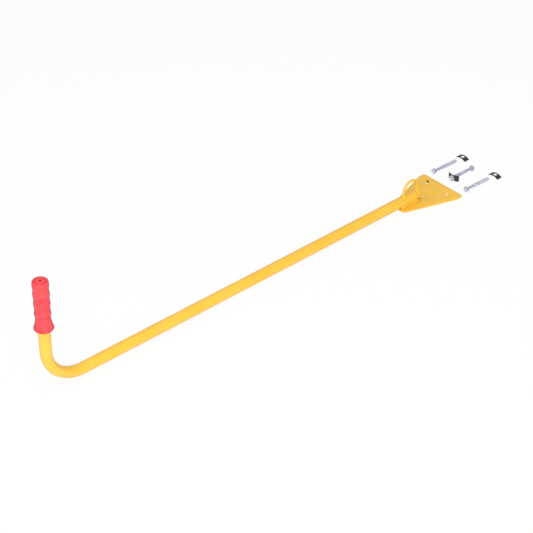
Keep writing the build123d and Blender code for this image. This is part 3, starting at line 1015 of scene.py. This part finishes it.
def red_grip():
    """Soft moulded plastic: satin, slightly see-through, scuffed on edges, with painted shade in
    grooves, on faces turned down, on the flange's lip and on faces seen edge on.
    """
    material, tree, surface = fresh_material("red_soft_plastic")
    lip = corners("grip")[0].z + GRIP_FLANGE_THICKNESS * RED_LIP_SHADE_HEIGHT
    colour = coated(tree, blend_colour(tree, patches(tree, *RED_DRIFT_GRAIN), *RED), [
        (edges(tree, radius=0.9), patches(tree, *RED_SCUFF_GRAIN), RED_SCUFF),
        # painted shade in grooves
        (crevice_shade(tree, distance=4, open_to=0.94, deep=0.68), 0.85, RED_GROOVE_SHADE),
        # painted shade on faces turned down
        (underside(tree, start=-0.02, end=-0.5), 0.7, RED_UNDERSIDE_SHADE),
        # painted shade on the flange's lip
        (lower_than(tree, lip, RED_LIP_SHADE_BLUR), 0.9, RED_LIP_SHADE),
        # painted shade on faces seen edge on
        (rim(tree, start=0.45, end=0.78), 0.9, RED_EDGE_ON_SHADE)])
    satin = grain(tree, 1.1, detail=3)
    fine = grain(tree, 0.3, detail=1)
    put(tree, surface, {
        "Base Color": colour,
        "Roughness": patches(tree, *RED_ROUGHNESS),
        "Specular IOR Level": 0.42,
        "Subsurface Weight": 0.12,
        "Subsurface Radius": (1.0, 0.25, 0.2),
        "Subsurface Scale": 0.003,
        "Normal": bumped(tree, [(satin, 0.035), (fine, 0.012)])})
    return material


def zinc():
    """Bright zinc plate: blue-white with a slow drift, brushed by tumbling, with a painted
    highlight on edges and painted shade in thread roots and corners.
    """
    material, tree, surface = fresh_material("zinc_plate")
    colour = coated(tree, blend_colour(tree, patches(tree, *ZINC_DRIFT_GRAIN), *ZINC), [
        # painted highlight on edges
        (edges(tree, radius=0.35), 0.5, ZINC_EDGE_HIGHLIGHT),
        # painted shade in thread roots and corners
        (crevice_shade(tree, distance=1.6, open_to=0.92, deep=0.3), 0.9, ZINC_CREVICE_SHADE)])
    put(tree, surface, {
        "Base Color": colour,
        "Metallic": 1.0,
        "Roughness": patches(tree, *ZINC_ROUGHNESS),
        "Normal": bumped(tree, [(grain(tree, 0.8, detail=3), 0.012)])})
    return material


def black_steel():
    """Black-finished pressed steel: satin, with bare metal starting to show on edges."""
    material, tree, surface = fresh_material("black_satin_steel")
    worn = times(tree, edges(tree, radius=0.3), patches(tree, *BLACK_WORN_GRAIN))
    black = blend_colour(tree, patches(tree, *BLACK_DRIFT_GRAIN), *BLACK)
    put(tree, surface, {
        "Base Color": blend_colour(tree, worn, black, BLACK_WORN),
        "Metallic": times(tree, worn, 0.8),
        "Roughness": patches(tree, *BLACK_ROUGHNESS),
        "Specular IOR Level": 0.25,
        "Normal": bumped(tree, [(grain(tree, 0.7, detail=3), 0.02)])})
    return material


# ---- pieces ----

# A dark spot beside the far left hole.
spot_hole_x, spot_hole_y = max(plate_holes(), key=lambda hole: hole[1])[:2]
HOLE_SPOT_CENTRE = Vector((spot_hole_x + HOLE_SPOT_OFFSET[0], spot_hole_y + HOLE_SPOT_OFFSET[1], PLATE_TOP))
finishes = {
    "yellow_coat": yellow_coat(), "red_grip": red_grip(),
    "zinc": zinc(), "black_steel": black_steel()}


def show(piece, node):
    """Shows a piece in a CAD node's place: on its body and in its finish."""
    slot = frame["nodes"][node].data.materials[0].name
    piece.data.materials.append(finishes[slot])
    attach(piece, body_of[node])
    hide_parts(node)


show(make_tube(), "main_tube")
show(make_plate(), "mounting_plate")
show(make_side_bead("plate_weld_left", 1), "plate_weld_left")
show(make_side_bead("plate_weld_right", -1), "plate_weld_right")
show(make_end_bead(), "plate_weld_end")
show(make_eye(), "eye_loop")
show(make_collar("eye_weld_rear"), "eye_weld_rear")
show(make_collar("eye_weld_front"), "eye_weld_front")
show(make_grip(), "grip")

for node in ("bolt_left", "bolt_right"):
    show(make_bolt(node + "_threaded", side_bolt_matrix(node)), node)
for node in ("saddle_washer_left", "saddle_washer_right"):
    low, high = corners(node)
    crown = Vector(((low.x + high.x) / 2, (low.y + high.y) / 2, high.z - SADDLE_THICKNESS))
    show(make_saddle(node + "_pressed", place(crown, UP, ALONG)), node)

spin = joints["nut_spin"]
middle_axis = Vector(spin["axis"]).normalized()
middle_seat = Vector(spin["pos_m"]) / MM
seat_along = middle_seat.dot(middle_axis)
middle_matrix = place(middle_seat, middle_axis, UP)
show(make_bolt("bolt_middle_threaded", middle_matrix), "bolt_middle")
nut_low, nut_high = (reach - seat_along for reach in along("hex_nut", middle_axis))
show(make_nut(middle_matrix, nut_low, nut_high), "hex_nut")
middle_crown = middle_seat + middle_axis * (nut_high + NUT_GAP + SADDLE_THICKNESS)
outward = -middle_axis * math.cos(ASKEW) - SIDE * math.sin(ASKEW)
middle_saddle = make_saddle("saddle_washer_middle_pressed", place(middle_crown, outward, UP))
show(middle_saddle, "saddle_washer_middle")


# ---- studio ----

CAMERA_AT = Vector((-2.50261, -2.23359, 2.18527))
CAMERA_AZIMUTH = math.radians(41.301)
CAMERA_ELEVATION = math.radians(35.913)
CAMERA_ROLL = math.radians(-0.103)
CAMERA_LENS = 112.47
CAMERA_SENSOR = 36.0
CAMERA_SIGHT = 200.0          # how far it sees, in metres
FLOOR_SIZE = 60.0
FLOOR_DROP = 0.0002           # how far it is below the object, in metres
FLOOR_TONE = 0.11             # how much of the light that falls on it the camera sees
FLOOR_GLOW = 0.88             # what it shines with by itself, as a lit table does
FLOOR_BOUNCE = 0.92           # how much it throws back on the object
SKY_FRONT = 0.30              # light from the camera's side, low so that the key shapes the object
SKY_BACK = 0.83
SKY_SEEN = 0.98               # what the camera sees behind the floor's end
AIM = (-0.5, 0, 0)            # the lever's middle
SOFTBOXES = (                 # name, place, width and height in metres, watts
    ("key", (-3.3, -3.4, 2.0), (3.0, 2.4), 147),
    ("overhead", (-1.3, -0.9, 3.1), (3.0, 2.6), 42))


def make_camera():
    lens = bpy.data.cameras.new("camera")
    lens.sensor_width = CAMERA_SENSOR
    lens.lens = CAMERA_LENS
    lens.clip_end = CAMERA_SIGHT
    camera = bpy.data.objects.new("camera", lens)
    bpy.context.scene.collection.objects.link(camera)
    a, e, r = CAMERA_AZIMUTH, CAMERA_ELEVATION, CAMERA_ROLL
    forward = Vector((math.sin(a) * math.cos(e), math.cos(a) * math.cos(e), -math.sin(e)))
    level = Vector((math.cos(a), -math.sin(a), 0))
    raised = level.cross(forward)
    right = level * math.cos(r) + raised * math.sin(r)
    top = raised * math.cos(r) - level * math.sin(r)
    turned = Matrix((right, top, -forward)).transposed().to_4x4()
    camera.matrix_world = Matrix.Translation(CAMERA_AT) @ turned
    bpy.context.scene.camera = camera


def softbox(name, at, size, power):
    lamp = bpy.data.lights.new(name, "AREA")
    lamp.shape = "RECTANGLE"
    lamp.size, lamp.size_y = size
    lamp.energy = power
    holder = bpy.data.objects.new(name, lamp)
    bpy.context.scene.collection.objects.link(holder)
    holder.location = at
    holder.rotation_euler = (Vector(AIM) - Vector(at)).to_track_quat("-Z", "Y").to_euler()


def make_floor():
    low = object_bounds()[0]
    shape = bmesh.new()
    bmesh.ops.create_grid(shape, x_segments=2, y_segments=2, size=FLOOR_SIZE / 2)
    bmesh.ops.translate(shape, verts=shape.verts, vec=(0, 0, min(0.0, low.z) - FLOOR_DROP))
    mesh = bpy.data.meshes.new("floor")
    shape.to_mesh(mesh)
    shape.free()
    floor = bpy.data.objects.new("floor", mesh)
    bpy.context.scene.collection.objects.link(floor)
    material, tree, surface = fresh_material("pale_floor")
    put(tree, surface, {
        "Base Color": (FLOOR_TONE, FLOOR_TONE, FLOOR_TONE, 1), "Roughness": 1.0,
        "Specular IOR Level": 0.0, "Emission Color": (1, 1, 1, 1), "Emission Strength": FLOOR_GLOW})
    bounce = add(tree, "ShaderNodeBsdfDiffuse", {
        "Color": (FLOOR_BOUNCE, FLOOR_BOUNCE, FLOOR_BOUNCE, 1)})
    seen = add(tree, "ShaderNodeLightPath").outputs["Is Camera Ray"]
    either = add(tree, "ShaderNodeMixShader", {
        0: seen, 1: bounce.outputs["BSDF"], 2: surface.outputs["BSDF"]})
    put(tree, tree.nodes["Material Output"], {"Surface": either.outputs["Shader"]})
    material.cycles.emission_sampling = "NONE"
    mesh.materials.append(material)


def make_world():
    world = bpy.data.worlds.new("studio")
    world.use_nodes = True
    tree = world.node_tree
    seen = add(tree, "ShaderNodeLightPath").outputs["Is Camera Ray"]
    towards = add(tree, "ShaderNodeSeparateXYZ", {
        "Vector": add(tree, "ShaderNodeTexCoord").outputs["Generated"]}).outputs["Y"]
    lit = spread(tree, towards, -1.0, 1.0, SKY_FRONT, SKY_BACK)
    strength = add(tree, "ShaderNodeMix", {"Factor": seen}, data_type="FLOAT")
    put(tree, strength, dict(zip(MIX_VALUES, (lit, SKY_SEEN))))
    put(tree, tree.nodes["Background"], {"Color": (1, 1, 1, 1), "Strength": strength.outputs[0]})
    bpy.context.scene.world = world
    bpy.context.scene.view_settings.view_transform = "Standard"


make_camera()
make_floor()
make_world()
for box in SOFTBOXES:
    softbox(*box)
